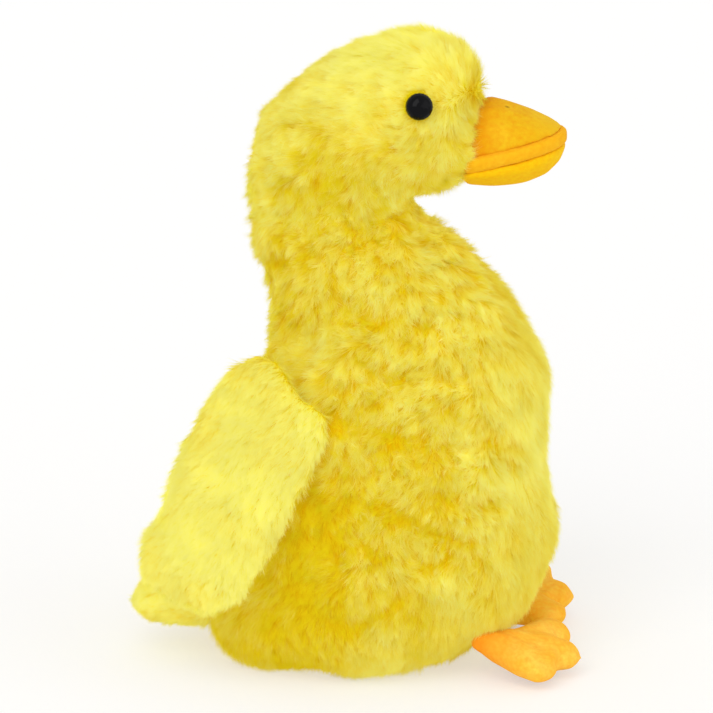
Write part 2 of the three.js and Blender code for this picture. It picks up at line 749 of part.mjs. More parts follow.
const leftFoot = footPieces(LEFT_FOOT);
add(leftSide, "left_foot_upper", leftFoot.upper, velvet);
add(leftSide, "left_foot_sole", leftFoot.lower, velvet);
add(leftSide, "left_foot_filling", leftFoot.filling, fibre);

export default gosling;
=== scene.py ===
# %% [markdown]
# # A plush gosling
# The toy is a stuffed bird of long yellow fur that sits upright, with an orange velour bill and feet. Its
# measured solids come from CAD, in metres, with z up and the bill towards x. They could be reshaped here,
# but they stay as they are. Each soft solid gets a stuffed skin in its place, and most of the skins grow
# fur.

# %% Open the measured parts
import math
import bpy
import numpy as np
from mathutils import Matrix, Vector, kdtree


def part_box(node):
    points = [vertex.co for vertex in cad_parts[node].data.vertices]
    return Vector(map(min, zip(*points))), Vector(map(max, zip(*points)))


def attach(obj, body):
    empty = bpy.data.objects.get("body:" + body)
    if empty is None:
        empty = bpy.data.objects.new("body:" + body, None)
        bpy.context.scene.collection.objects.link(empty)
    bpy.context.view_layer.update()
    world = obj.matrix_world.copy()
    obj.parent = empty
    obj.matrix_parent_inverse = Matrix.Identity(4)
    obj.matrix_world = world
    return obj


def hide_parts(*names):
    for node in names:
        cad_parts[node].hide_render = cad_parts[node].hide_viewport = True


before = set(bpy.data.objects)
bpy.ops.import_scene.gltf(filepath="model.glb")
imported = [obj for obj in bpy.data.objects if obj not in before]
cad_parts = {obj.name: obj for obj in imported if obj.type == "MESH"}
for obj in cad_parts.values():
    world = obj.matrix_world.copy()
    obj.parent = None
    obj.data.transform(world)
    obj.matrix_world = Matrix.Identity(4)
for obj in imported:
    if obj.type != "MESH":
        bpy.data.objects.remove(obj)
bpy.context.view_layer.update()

mm = 0.001

# %% [markdown]
# ## Camera
# The toy is seen from its right side, from a little above, through a long lens that hardly narrows what
# is further off. A camera could be aimed by a constraint, but this one is given a place and a tilt in
# numbers. The lens follows from the width that has to fit in the square picture.

# %% Camera
scene = bpy.context.scene
scene.view_settings.view_transform = "Standard"
aim = Vector((-2, 0, 141)) * mm
camera_distance = 2200 * mm
camera_lift = math.radians(15)
picture_width = 329.8 * mm
furthest_seen = 50

camera_data = bpy.data.cameras.new("camera")
camera = bpy.data.objects.new("camera", camera_data)
scene.collection.objects.link(camera)
camera.location = aim + camera_distance * Vector((0, -math.cos(camera_lift), math.sin(camera_lift)))
camera.rotation_euler = (math.pi / 2 - camera_lift, 0, 0)
camera_data.lens = camera_data.sensor_width * camera_distance / picture_width
camera_data.clip_end = furthest_seen
scene.camera = camera
print("lens in mm:", round(camera_data.lens))

# %% [markdown]
# ## Dyes
# Cloth takes dye unevenly, so most colours here vary over a piece. Blender mixes such values in shader
# nodes. They could be wired one by one, but long sums get hard to read that way, so this class wraps the
# output of a node: sums are then written as plain arithmetic, and each sign adds its own Math node.

# %% Dyes
class Dye:
    """A value that varies over a piece: one socket in its material."""

    def __init__(self, tree, socket):
        self.tree = tree
        self.socket = socket

    def node(self, kind, inputs=None, output=0, **settings):
        made = self.tree.nodes.new("ShaderNode" + kind)
        for key, value in settings.items():
            setattr(made, key, value)
        for place, value in (inputs or {}).items():
            if isinstance(value, Dye):
                self.tree.links.new(value.socket, made.inputs[place])
            else:
                made.inputs[place].default_value = value
        return Dye(self.tree, made.outputs[output] if made.outputs else None)

    def math(self, operation, first, second):
        return self.node("Math", {0: first, 1: second}, operation=operation)

    def __add__(self, other):
        return self.math("ADD", self, other)

    def __mul__(self, other):
        return self.math("MULTIPLY", self, other)

    __radd__ = __add__
    __rmul__ = __mul__

    def between(self, low, high):
        """0 below low, 1 above high, and an even slope from one to the other."""
        return self.node("MapRange", {0: self, 1: low, 2: high})

    def mix(self, first, second):
        """The first colour where this is 0, the second where it is 1."""
        return self.node("MixRGB", {"Fac": self, "Color1": first, "Color2": second})


def tint(red, green, blue):
    """A colour as a screen shows it, 0 to 255, in the linear numbers that materials use."""
    shares = [part / 255 for part in (red, green, blue)]
    return (*[s / 12.92 if s <= 0.04045 else ((s + 0.055) / 1.055) ** 2.4 for s in shares], 1)


print("middle grey in linear numbers:", tint(128, 128, 128))

# %% [markdown]
# ## Blank materials
# Fur, velour and plastic all start as the Principled shader, which covers cloth and plastic alike. Every
# value could come from nodes, but what is the same all over a piece is set on the shader's own sockets,
# because a plain material is easier to export. Noise reads Object coordinates, so mottling stays with its
# piece.

# %% Blank materials
def new_material(name, roughness, **constants):
    """A material, its main node and a blank dye to start from."""
    material = bpy.data.materials.new(name)
    material.use_nodes = True
    tree = material.node_tree
    main = tree.nodes["Principled BSDF"]
    main.inputs["Roughness"].default_value = roughness
    for place, value in constants.items():
        main.inputs[place.replace("_", " ")].default_value = value
    return material, main, Dye(tree, None)


def feed(node, place, dye):
    """Links a dye to one socket of a node."""
    dye.tree.links.new(dye.socket, node.inputs[place])


def noise(dye, size, detail=2.0):
    """Smooth noise, 0 to 1, with lumps of about this size."""
    spot = dye.node("TexCoord", output="Object")
    return dye.node("TexNoise", {"Vector": spot, "Scale": 0.5 / size, "Detail": detail})


print("materials of the CAD solids:", len(bpy.data.materials))

# %% [markdown]
# ## Fur dye
# Each strand of the real pile is golden at its root and lemon at its tip, and some tufts are paler. A
# hair shader could dye it, but these strands are blades of mesh with a map of their own: its height runs
# from root to tip, and its width from warm tufts to pale ones. Pile also passes light on from strand to
# strand. Tracing that takes many samples, so a Translucent share and a weak glow of the same dye stand in
# for it.

# %% Fur dye
fur_glow = 0.35
light_passed = 0.5
passed_colour = tint(238, 234, 46)
root_end, tip_start = 0.05, 0.75


def let_light_through(blank, main, share, colour):
    """Thin strands pass part of the light on, so shadows in the pile stay golden."""
    passed = blank.node("BsdfTranslucent", {"Color": colour})
    surface = Dye(blank.tree, main.outputs["BSDF"])
    both = blank.node("MixShader", {"Fac": share, 1: surface, 2: passed})
    feed(blank.tree.nodes["Material Output"], "Surface", both)


def fur_material(name, warm_root, warm_tip, pale_root, pale_tip):
    material, main, blank = new_material(name, 1.0, Specular_IOR_Level=0, Emission_Strength=fur_glow)
    spot = blank.node("UVMap", uv_map="OFBake")
    tone = blank.node("SeparateXYZ", {0: spot})
    along = Dye(blank.tree, tone.socket.node.outputs[1])
    rise = along.between(root_end, tip_start)
    warm = rise.mix(warm_root, warm_tip)
    pale = rise.mix(pale_root, pale_tip)
    dyed = tone.mix(warm, pale)
    feed(main, "Base Color", dyed)
    feed(main, "Emission Color", dyed)
    let_light_through(blank, main, light_passed, passed_colour)
    return material


fur = fur_material(
    "yellow_fur", warm_root=tint(218, 164, 0), warm_tip=tint(232, 217, 6), pale_root=tint(234, 226, 26),
    pale_tip=tint(250, 250, 165)
)
print(fur.name, "has", len(fur.node_tree.nodes), "nodes")

# %% [markdown]
# ## Fur backing
# The pile is knitted into a backing cloth, which shows only where the fur parts. It could share the fur's
# dye, but it has no strands to map, so it is one flat gold, like the roots. It glows weakly too, as painted
# light that lifts the shade between the tufts: a dark backing would draw dark lines there.

# %% Fur backing
# The backing's glow is painted light in the shade between the tufts.
backing_painted_glow = 0.25
backing_gold = tint(212, 186, 14)
fur_backing = new_material(
    "fur_backing", 1.0, Specular_IOR_Level=0, Emission_Strength=backing_painted_glow, Base_Color=backing_gold,
    Emission_Color=backing_gold
)[0]
print(fur_backing.name, "is one colour:", [round(part, 3) for part in backing_gold])

# %% [markdown]
# ## Velour
# Bill and feet are velour, a cloth of short dense pile. It is mottled where the pile leans one way or
# another, and pale where it turns away. It could be grown as very short fur, but such strands would be
# too small to see, so noise in two sizes dyes it, a Bump node roughens it, and Sheen gives the pale rim.

# %% Velour
patch_size, pile_size, nap_size = 9 * mm, 1.1 * mm, 0.8 * mm
nap_depth, nap_strength = 0.4 * mm, 0.35
pile_share, end_share = 0.5, 0.75
slit_inside, slit_outside = 1.2 * mm, 2.2 * mm
slit_brown = tint(110, 50, 0)
sheen_gold = tint(255, 210, 90)


def velour_material(name, deep, middle, pale, shaded_end=None, highlight_end=None, slits=()):
    """Pile in three shades. Between two places along x it deepens as painted shade or pales as a
    painted highlight, and round slits it is dark.
    """
    material, main, blank = new_material(
        name, 0.9, Specular_IOR_Level=0.1, Sheen_Weight=0.15, Sheen_Roughness=0.5, Sheen_Tint=sheen_gold
    )
    patches = noise(blank, patch_size).between(0.3, 0.7)
    pile = noise(blank, pile_size, 3.0).between(0.3, 0.75)
    dyed = (pile_share * pile).mix(patches.mix(middle, pale), deep)
    spot = blank.node("TexCoord", output="Object")
    forward = blank.node("SeparateXYZ", {0: spot})
    # Painted shade: darker towards one end along x.
    if shaded_end:
        dyed = (end_share * forward.between(*shaded_end)).mix(dyed, deep)
    # Painted highlight: paler towards one end along x.
    if highlight_end:
        dyed = (end_share * forward.between(*highlight_end)).mix(dyed, pale)
    for slit in slits:
        away = blank.node("VectorMath", {0: spot, 1: slit}, output="Value", operation="DISTANCE")
        dyed = away.between(slit_inside, slit_outside).mix(slit_brown, dyed)
    feed(main, "Base Color", dyed)
    height = noise(blank, nap_size)
    bump = blank.node("Bump", {"Strength": nap_strength, "Distance": nap_depth, "Height": height})
    feed(main, "Normal", bump)
    return material


print("velour is mottled in patches of", patch_size / mm, "mm")

# %% [markdown]
# ## Orange shades
# The upper half of the bill is deep orange at the face, as painted shade under the fur there, pales
# towards its tip as a painted highlight, and has two small dark slits. The lower half is brighter, as
# painted light against the shade under the bill, and its lip is paler, as painted light where it
# catches light from above. The feet are palest at the toes, with painted shade deepening the heels
# under the belly. Each piece is its own cut of cloth, so each gets its own three shades.

# %% Orange shades
bill_slits = [Vector((67, side * 8, 262)) * mm for side in (-1, 1)]
# Painted shade at the face and a painted highlight towards the tip.
bill_velour = velour_material(
    "bill_velour", tint(222, 127, 0), tint(222, 169, 4), tint(234, 194, 33), shaded_end=(66 * mm, 46 * mm),
    highlight_end=(72 * mm, 94 * mm), slits=bill_slits
)
# Brighter than the upper half, as painted light against the shade under the bill.
brightened_lower_velour = velour_material(
    "lower_bill_velour", tint(236, 158, 0), tint(240, 190, 4), tint(244, 202, 14)
)
# Paler, as painted light where the lip catches light from above.
brightened_lip_velour = velour_material("brightened_lip_velour", tint(232, 152, 5), tint(240, 178, 18), tint(243, 187, 34))
# Darker at the heel, as painted shade under the belly.
foot_velour = velour_material(
    "foot_velour", tint(250, 144, 25), tint(250, 188, 43), tint(252, 209, 85), shaded_end=(76 * mm, 54 * mm)
)
print("velours:", [look.name for look in (bill_velour, brightened_lower_velour, brightened_lip_velour, foot_velour)])

# %% [markdown]
# ## Plastic and stuffing
# The eyes are moulded in glossy black plastic, their washers in white, and the stuffing is loose fibre.
# Plain colours could do for pieces so small or hidden, but a slight speckle keeps them from looking
# painted.

# %% Plastic and stuffing
speck_size, speck_shade = 2 * mm, 0.93


def plain_material(name, colour, roughness, **constants):
    material, main, blank = new_material(name, roughness, **constants)
    speck = noise(blank, speck_size).between(0.2, 0.8)
    darker = tuple(speck_shade * part for part in colour[:3]) + (1,)
    feed(main, "Base Color", speck.mix(darker, colour))
    return material


eye_gloss = plain_material("eye_gloss", tint(6, 6, 9), 0.1, Specular_IOR_Level=0.1)
washer_plastic = plain_material("washer_plastic", tint(240, 240, 236), 0.5)
stuffing = plain_material("stuffing", tint(245, 235, 180), 1.0)
print("plain materials:", [look.name for look in (eye_gloss, washer_plastic, stuffing)])

# %% [markdown]
# ## White room
# A light tent for taking pictures is white all round. Stronger light could turn the background white too,
# but it would bleach the fur. So the world shines at a plain level, and only what the camera sees of it,
# straight or in a shiny surface, is full white.

# %% White room
white = (1, 1, 1, 1)
room_colour, room_strength = (1, 0.99, 0.97, 1), 0.76


def looked_at(blank):
    """1 for what the camera sees straight, in a reflection or through glass."""
    camera_ray, glossy_ray, passing_ray = [
        blank.node("LightPath", output=f"Is {ray} Ray") for ray in ("Camera", "Glossy", "Transmission")
    ]
    return camera_ray + glossy_ray + passing_ray


scene.world = bpy.data.worlds.new("white_room")
scene.world.use_nodes = True
scene.world.node_tree.nodes.clear()
room = Dye(scene.world.node_tree, None)
glow = room.node("Background", {"Color": room_colour, "Strength": room_strength})
backdrop = room.node("Background", {"Color": white})
both = room.node("MixShader", {"Fac": looked_at(room), 1: glow, 2: backdrop})
room.node("OutputWorld", {"Surface": both})
print("the room shines at", room_strength)

# %% [markdown]
# ## Floor
# The toy stands on white paper, which shows a soft shadow. A floor that only catches shadows could be
# used, but then no light would bounce up under the toy. This one is a plain white plane, and half of what
# the camera sees of it is pure white, so it melts into the background and the shadow stays.

# %% Floor
floor_size = 30
paper_share = 0.5
bpy.ops.mesh.primitive_plane_add(size=floor_size)
floor = bpy.context.object
floor.name = "floor"
white_table, table_top, blank = new_material("white_table", 0.9, Base_Color=tint(252, 252, 252))
paper = blank.node("Emission", {"Color": white})
shaded = Dye(blank.tree, table_top.outputs["BSDF"])
bright = blank.node("MixShader", {"Fac": paper_share * looked_at(blank), 1: shaded, 2: paper})
feed(blank.tree.nodes["Material Output"], "Surface", bright)
floor.data.materials.append(white_table)
print("floor", floor_size, "m wide")

# %% [markdown]
# ## Lamps
# A wide key lamp shines down over the camera's left shoulder, and a weaker one fills in from the right.
# Area lamps are nearer to a studio's, but they have to be placed and fade with distance. Suns with a wide
# angle shade as softly and light every view at the same level.

# %% Lamps
def add_sun(name, way, strength, softness):
    lamp = bpy.data.lights.new(name, "SUN")
    lamp.energy = strength
    lamp.angle = math.radians(softness)
    sun = bpy.data.objects.new(name, lamp)
    scene.collection.objects.link(sun)
    sun.rotation_euler = Vector(way).to_track_quat("-Z", "Y").to_euler()
    print(name, "at", strength)


add_sun("key_lamp", way=(0.35, 0.9, -0.8), strength=1.12, softness=50)
add_sun("fill_lamp", way=(-0.9, 0.6, -0.3), strength=0.52, softness=60)

# %% [markdown]
# ## One skin from several solids
# A soft piece is cloth sewn round filling, and in CAD that is several solids. A skin could be modelled
# afresh round them, but a joined copy keeps every measure. Where a neighbour has to overlap it, the copy
# gets a plug in the neck, or a root that reaches further in.

# %% One skin from several solids
def select_only(*pieces):
    bpy.ops.object.select_all(action="DESELECT")
    for piece in pieces:
        piece.select_set(True)
    bpy.context.view_layer.objects.active = pieces[0]


def joined_copy(name, nodes, plug=None, root=None):
    """A copy of some nodes as one piece, with a plug in the neck or a root that reaches further in."""
    copies = []
    if plug:
        middle, radii = plug
        bpy.ops.mesh.primitive_uv_sphere_add(segments=32, ring_count=16, radius=1, location=middle)
        bpy.context.object.scale = radii
        bpy.ops.object.transform_apply()
        copies.append(bpy.context.object)
    for node in nodes:
        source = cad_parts[node]
        for shift in (None, root) if root else (None,):
            copy = bpy.data.objects.new(name, source.data.copy())
            copy.data.transform(source.matrix_world)
            if shift:
                copy.data.transform(Matrix.Translation(shift))
            copy.data.materials.clear()
            scene.collection.objects.link(copy)
            copies.append(copy)
    select_only(*copies)
    bpy.ops.object.join()
    piece = bpy.context.object
    piece.name = name
    bpy.ops.object.mode_set(mode="EDIT")
    bpy.ops.mesh.select_all(action="SELECT")
    bpy.ops.mesh.remove_doubles(threshold=0.01 * mm)
    bpy.ops.object.mode_set(mode="OBJECT")
    return piece


print("CAD nodes to copy from:", len(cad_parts))

# %% [markdown]
# ## Even mesh
# Cloth bends well only where its mesh is even, and joined solids meet in long thin triangles. Boolean
# unions would leave those in, so Voxel Remesh melts the copies into one skin of small squares. It leaves
# shells round hollows inside, which nobody sees, and only the largest shell is kept.

# %% Even mesh
def apply_modifier(piece, kind, **settings):
    select_only(piece)
    bpy.ops.object.modifier_add(type=kind)
    modifier = piece.modifiers[-1]
    for key, value in settings.items():
        setattr(modifier, key, value)
    bpy.ops.object.modifier_apply(modifier=modifier.name)


def remesh(piece, voxel):
    select_only(piece)
    piece.data.remesh_voxel_size = voxel
    bpy.ops.object.voxel_remesh()


def keep_outermost(piece):
    """Leaves the largest shell of a skin and clears away pockets inside it."""
    select_only(piece)
    bpy.ops.object.mode_set(mode="EDIT")
    bpy.ops.mesh.select_all(action="SELECT")
    bpy.ops.mesh.separate(type="LOOSE")
    bpy.ops.object.mode_set(mode="OBJECT")
    shells = sorted(bpy.context.selected_objects, key=lambda shell: shell.dimensions.length)
    name = piece.name
    for shell in shells[:-1]:
        bpy.data.objects.remove(shell)
    shells[-1].name = name
    return shells[-1]


print("skins are remeshed, and their inner shells are cleared away")

# %% [markdown]
# ## Swelling
# A maker fills the sewn cloth until it swells. Scaling a skin would swell it evenly, but real cloth
# swells most where it is free and least where it curves tightly. The Cloth simulation does that with
# pressure from inside. No point may move further than a set way, so the piece keeps its measures.

# %% Swelling
air_pressure = 4
swelling_frames = 20


def points_of(piece):
    points = np.empty(3 * len(piece.data.vertices), np.float32)
    piece.data.vertices.foreach_get("co", points)
    return points.reshape(-1, 3).astype(float)


def set_points(piece, points):
    piece.data.vertices.foreach_set("co", points.astype(np.float32).ravel())
    piece.data.update()


def puff_up(piece, most):
    """Blows a skin up as cloth and lets no point move further than most."""
    before = points_of(piece)
    select_only(piece)
    bpy.ops.object.modifier_add(type="CLOTH")
    cloth = piece.modifiers[-1]
    cloth.settings.use_pressure = True
    cloth.settings.uniform_pressure_force = air_pressure
    cloth.settings.effector_weights.gravity = 0
    for step in range(1, swelling_frames + 1):
        scene.frame_set(step)
    bpy.ops.object.modifier_apply(modifier=cloth.name)
    scene.frame_set(1)
    moved = points_of(piece) - before
    far = np.linalg.norm(moved, axis=1, keepdims=True)
    set_points(piece, before + moved * np.minimum(1, most / np.maximum(far, 1e-9)))


print("swelling takes", swelling_frames, "frames")

# %% [markdown]
# ## Stuffed skins
# Every soft piece of the toy is made in the same steps: copy, remesh, round off, draw in, swell, smooth.
# Each could be sculpted by itself, but one function keeps them alike. Fur stands off its cloth, so the
# skins that get fur are drawn in by about the depth of the pile, and those without are let out a little.


def stuffed_skin(name, nodes, body, look, voxel, inset=0.0, swell=2 * mm, plug=None, root=None,
                 rounding=6):
    piece = joined_copy(name, nodes, plug, root)
    remesh(piece, voxel)
    piece = keep_outermost(piece)
    apply_modifier(piece, "SMOOTH", iterations=rounding, factor=0.5)
    if inset:
        apply_modifier(piece, "DISPLACE", strength=-inset, mid_level=0.0)
        remesh(piece, voxel)
        piece = keep_outermost(piece)
        apply_modifier(piece, "SMOOTH", iterations=3, factor=0.5)
    puff_up(piece, swell)
    apply_modifier(piece, "SUBSURF", levels=1)
    select_only(piece)
    bpy.ops.object.shade_smooth()
    piece.data.materials.clear()
    piece.data.materials.append(look)
    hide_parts(*nodes)
    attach(piece, body)
    print(name, len(piece.data.vertices), "points")
    return piece


body_plug = (Vector((-9, 0, 203)) * mm, Vector((44, 43, 34)) * mm)
body_skin = stuffed_skin(
    "body_skin", ["body_cover", "body_filling", "base_panel", "pellet_bag"], "torso",
    fur_backing, voxel=5 * mm, inset=4 * mm, plug=body_plug
)

# %% [markdown]
# ## Neck, head, tail and wings
# The head and the body each close over the stuffed neck between them, so no gap opens when the head
# turns. One long skin could hold both, but then the head couldn't turn at all. Tail and wings are flat
# sewn pads, and the wings are rounded off more, because their edges are thin.

# %% Neck, head, tail and wings
stuffed_skin(
    "neck_stuffing", ["neck_filling"], "neck", stuffing, voxel=4 * mm, swell=0.4 * mm
)
head_plug = (Vector((-10, 0, 204)) * mm, Vector((40, 40, 26)) * mm)
head_skin = stuffed_skin(
    "head_skin", ["head_cover", "head_filling"], "head", fur_backing, voxel=4 * mm,
    inset=5 * mm, plug=head_plug
)
tail_skin = stuffed_skin(
    "tail_skin", ["tail_upper_panel", "tail_lower_panel", "tail_filling"], "tail",
    fur_backing, voxel=3 * mm, inset=3 * mm
)
wing_skins = {}
for side in ("right", "left"):
    panels = [f"{side}_wing_{part}" for part in ("outer_panel", "inner_panel", "filling")]
    wing_skins[side] = stuffed_skin(
        f"{side}_wing_skin", panels, f"{side}_wing", fur_backing, voxel=3 * mm,
        inset=3.2 * mm, rounding=16
    )

# %% [markdown]
# ## Lumps
# Loose filling makes lumps all over. A Displace modifier with a clouds texture could raise them, but the
# fur later needs the same kind of soft random value for its swirls and tones. So a few sine waves in
# random directions are added up, which gives the same lumps at every run.

# %% Lumps
wave_count = 9


def unit(ways):
    return ways / np.maximum(np.linalg.norm(ways, axis=1, keepdims=True), 1e-12)


def ripples(spots, size, seed):
    """A smooth random value, mostly from -1.5 to 1.5, with waves of about this size."""
    rng = np.random.default_rng(seed)
    ways = unit(rng.normal(size=(wave_count, 3)))
    lengths = size * rng.uniform(0.7, 1.5, wave_count)
    starts = rng.uniform(0, 2 * math.pi, wave_count)
    waves = np.sin(spots @ (2 * math.pi * ways / lengths[:, None]).T + starts)
    return waves.sum(1) / math.sqrt(wave_count / 2)


lump_sample = ripples(points_of(body_skin), 38 * mm, 11)
print("lumps on the body run from", lump_sample.min().round(2), "to", lump_sample.max().round(2))

# %% [markdown]
# ## Folds
# The cloth creases where the toy leans forward: round the neck and across the belly. They could be
# sculpted, or left to the simulation, which folds where it likes. Here each crease is a line in the side
# view, in mm forward and up the picture, and it's pressed into both sides, so that skin and fur share the
# same folds.

# %% Folds
folds = {
    "collar": [(-37, 192), (-20, 194), (0, 195), (15, 205)],
    "under_collar": [(-39, 182), (-24, 181), (-5, 187), (10, 190)],
    "waist": [(-13, 107), (4, 105), (23, 99), (41, 98), (60, 99), (72, 96)],
    "belly": [(7, 71), (20, 65), (35, 57), (49, 53)],
    "upper_belly": [(32, 74), (47, 71), (57, 70)],
    "lower_belly": [(-8, 59), (10, 45), (32, 43), (51, 47)],
    "chest": [(-10, 152), (0, 153), (18, 152), (31, 152)],
    "under_chest": [(1, 136), (13, 127), (32, 129), (41, 127)],
    "front_of_waist": [(47, 105), (57, 101), (68, 88)],
    "seat": [(-31, 34), (-16, 19), (-4, 13), (17, 28)],
}


def side_view(spots):
    """Where spots lie in the picture, in metres: forward, and up."""
    up = math.cos(camera_lift) * spots[:, 2] - math.sin(camera_lift) * np.abs(spots[:, 1])
    return np.stack([spots[:, 0], up], 1)


def from_line(flat, line):
    """The shortest way from a line to each spot in the side view."""
    shortest = np.full(flat.shape, np.inf)
    for start, end in zip(line, line[1:]):
        start, end = np.array(start) * mm, np.array(end) * mm
        run = end - start
        share = np.clip((flat - start) @ run / (run @ run), 0, 1)
        way = flat - start - share[:, None] * run
        nearer = np.linalg.norm(way, axis=1) < np.linalg.norm(shortest, axis=1)
        shortest[nearer] = way[nearer]
    return shortest


def from_folds(spots):
    """The shortest way to each spot from the fold that is nearest to it."""
    ways = np.stack([from_line(side_view(spots), line) for line in folds.values()])
    nearest_fold = np.linalg.norm(ways, axis=2).argmin(0)
    return ways[nearest_fold, np.arange(len(spots))]


def fold_depth(spots, width):
    """1 in the folds, which deepen and fade along their lines, falling to 0 about this far away."""
    wavy = np.clip(0.7 + 0.3 * ripples(spots, 22 * mm, 51), 0, 1)
    return wavy * np.exp(-((np.linalg.norm(from_folds(spots), axis=1) / width) ** 2))


def body_folds(points):
    return -2 * mm * fold_depth(points, 5 * mm)


print(len(folds), "folds, at most", round(-body_folds(points_of(body_skin)).min() / mm, 2), "mm deep")

# %% [markdown]
# ## Eye beds and cheeks
# The cloth is full behind the eyes, which sit flush in the fur, and at the corners of the mouth, where it
# covers the root of the bill. These could be extra patches, but pushing the head's skin out there leaves
# no seams. The eyes' places are taken from their measured boxes.

# %% Eye beds and cheeks
eye_radius = 6.2 * mm
eye_bed, eye_bed_width = 2.5 * mm, 12 * mm
cheek, cheek_width = 5 * mm, 14 * mm
mouth_corner = np.array([50, 24, 238]) * mm
eye_middles = []
for side, sign in (("right", -1), ("left", 1)):
    eye_box = np.array(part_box(f"{side}_eye"))
    middle = eye_box.mean(0)
    middle[1] = sign * (np.abs(eye_box[:, 1]).max() - eye_radius)
    eye_middles.append(middle)


def near_eyes(spots, width):
    """1 at the eyes, falling to 0 about this far away."""
    away = [np.linalg.norm(spots - middle, axis=1) for middle in eye_middles]
    return np.exp(-((np.min(away, axis=0) / width) ** 2))


def eye_beds_and_cheeks(points):
    """Cloth that is full behind the eyes and at the corners of the mouth."""
    away = np.linalg.norm(points * [1, 0, 1] + np.abs(points) * [0, 1, 0] - mouth_corner, axis=1)
    return eye_bed * near_eyes(points, eye_bed_width) + cheek * np.exp(-((away / cheek_width) ** 2))


print("middles of the eyes in mm:", [(middle / mm).round(1).tolist() for middle in eye_middles])

# %% [markdown]
# ## Full places
# Filling gathers where the toy sits on it and thins where the cloth is stretched. Sculpting could show
# that, but a list is easier to correct: each place is given as x, height, radius and push in mm, in the
# side view, and the skin moves along its normals there. Lumps and folds are pressed in by the same move.

# %% Full places
lowest_skin = 2.5 * mm
large_lump, small_lump = 38 * mm, 17 * mm


def soft_spot(spots, x, h, radius):
    """1 at a place in the side view, falling to 0 about this far away."""
    away = np.linalg.norm(side_view(spots) - np.array([x, h]) * mm, axis=1)
    return np.exp(-((away / (radius * mm)) ** 2))


def normals_of(piece):
    normals = np.empty(3 * len(piece.data.vertices), np.float32)
    piece.data.vertices.foreach_get("normal", normals)
    return normals.reshape(-1, 3).astype(float)


def make_lumpy(piece, lump, seed, full_places, form=None):
    """Pushes a skin out at places given as x, h, radius and push in mm, with small lumps all over."""
    points = points_of(piece)
    push = lump * (0.6 * ripples(points, large_lump, seed) + 0.4 * ripples(points, small_lump, seed + 1))
    for x, h, radius, most in full_places:
        push += most * mm * soft_spot(points, x, h, radius)
    if form is not None:
        push += form(points)
    points += push[:, None] * normals_of(piece)
    points[:, 2] = np.maximum(points[:, 2], lowest_skin)
    set_points(piece, points)
    print(piece.name, "is pushed by up to", round(np.abs(push).max() / mm, 1), "mm")


nape, rump, throat = (-42, 160, 22, 1.5), (-60, 2, 20, 11), (27, 203, 12, -2.5)
breast, belly, lap = (90, 128, 10, 1.5), (90, 60, 30, 0.8), (64, 15, 14, 3.5)
back_of_neck, chin = (-50, 206, 16, 2), (41, 214, 10, 1.5)
tail_underside, tail_tip = (-100, 17, 10, 4), (-108, 26, 7, -3)
wing_back_edge, wing_shoulder = (-99, 42, 14, 3.5), (-64, 130, 20, -0.5)
make_lumpy(body_skin, 1.0 * mm, 11, [nape, rump, throat, breast, belly, lap], body_folds)
make_lumpy(head_skin, 0.9 * mm, 21, [back_of_neck, chin], eye_beds_and_cheeks)
make_lumpy(tail_skin, 1.0 * mm, 31, [tail_underside, tail_tip])
for skin in wing_skins.values():
    make_lumpy(skin, 0.8 * mm, 41, [wing_back_edge, wing_shoulder])

# %% [markdown]
# ## Fur roots
# Long pile is knitted into its backing, thousands of strands to a square centimetre. Blender's hair could
# grow it, but hair isn't a mesh and is lost in an export, so each strand here becomes a thin blade of
# mesh. First come the roots, spread at random over the skin, with as many on a large face as its area
# asks.

# %% Fur roots
def fur_roots(skin, count, rng):
    """Random spots on a skin, evenly spread, and which way is out there."""
    mesh = skin.data
    mesh.calc_loop_triangles()
    corners = np.empty(3 * len(mesh.loop_triangles), np.int32)
    mesh.loop_triangles.foreach_get("vertices", corners)
    corners = corners.reshape(-1, 3)
    points = points_of(skin)
    first, second, third = points[corners].transpose(1, 0, 2)
    areas = np.linalg.norm(np.cross(second - first, third - first), axis=1)
    picked = corners[rng.choice(len(corners), count, p=areas / areas.sum())]
    shares = rng.dirichlet((1, 1, 1), count)[:, :, None]
    spots = (points[picked] * shares).sum(1)
    return spots, unit((normals_of(skin)[picked] * shares).sum(1))


def area_of(skin):
    return sum(face.area for face in skin.data.polygons)


print("the body has", round(area_of(body_skin) * 10000), "square centimetres to cover")

# %% [markdown]
# ## Combing
# The pile is combed one way, swirls a little, and clings together: strands in wisps, and wisps in tufts
# that lean to their middles, so golden roots show between them. Brushing hair by hand could give that,
# but not the same way twice. Each strand looks up the nearest middle of a tuft and of a wisp, and leans
# that way.

# %% Combing
tuft_size, tuft_edge, wisp_size = 6 * mm, 4 * mm, 1.3 * mm
wide_swirl, small_swirl = 0.3, 0.45
shortest_lay = 0.15
gathering = 0.6


def laid_flat(ways, out):
    return ways - (ways * out).sum(1, keepdims=True) * out


def turned(ways, out, angles):
    return ways * np.cos(angles)[:, None] + np.cross(out, ways) * np.sin(angles)[:, None]


def nearest(spots, spacing, area, rng):
    """For each spot, the one of some evenly spread spots that is nearest to it."""
    middles = rng.choice(len(spots), max(3, int(area / spacing**2)), replace=False)
    tree = kdtree.KDTree(len(middles))
    for place, middle in enumerate(middles):
        tree.insert(spots[middle], place)
    tree.balance()
    return middles[[tree.find(spot)[1] for spot in spots]]


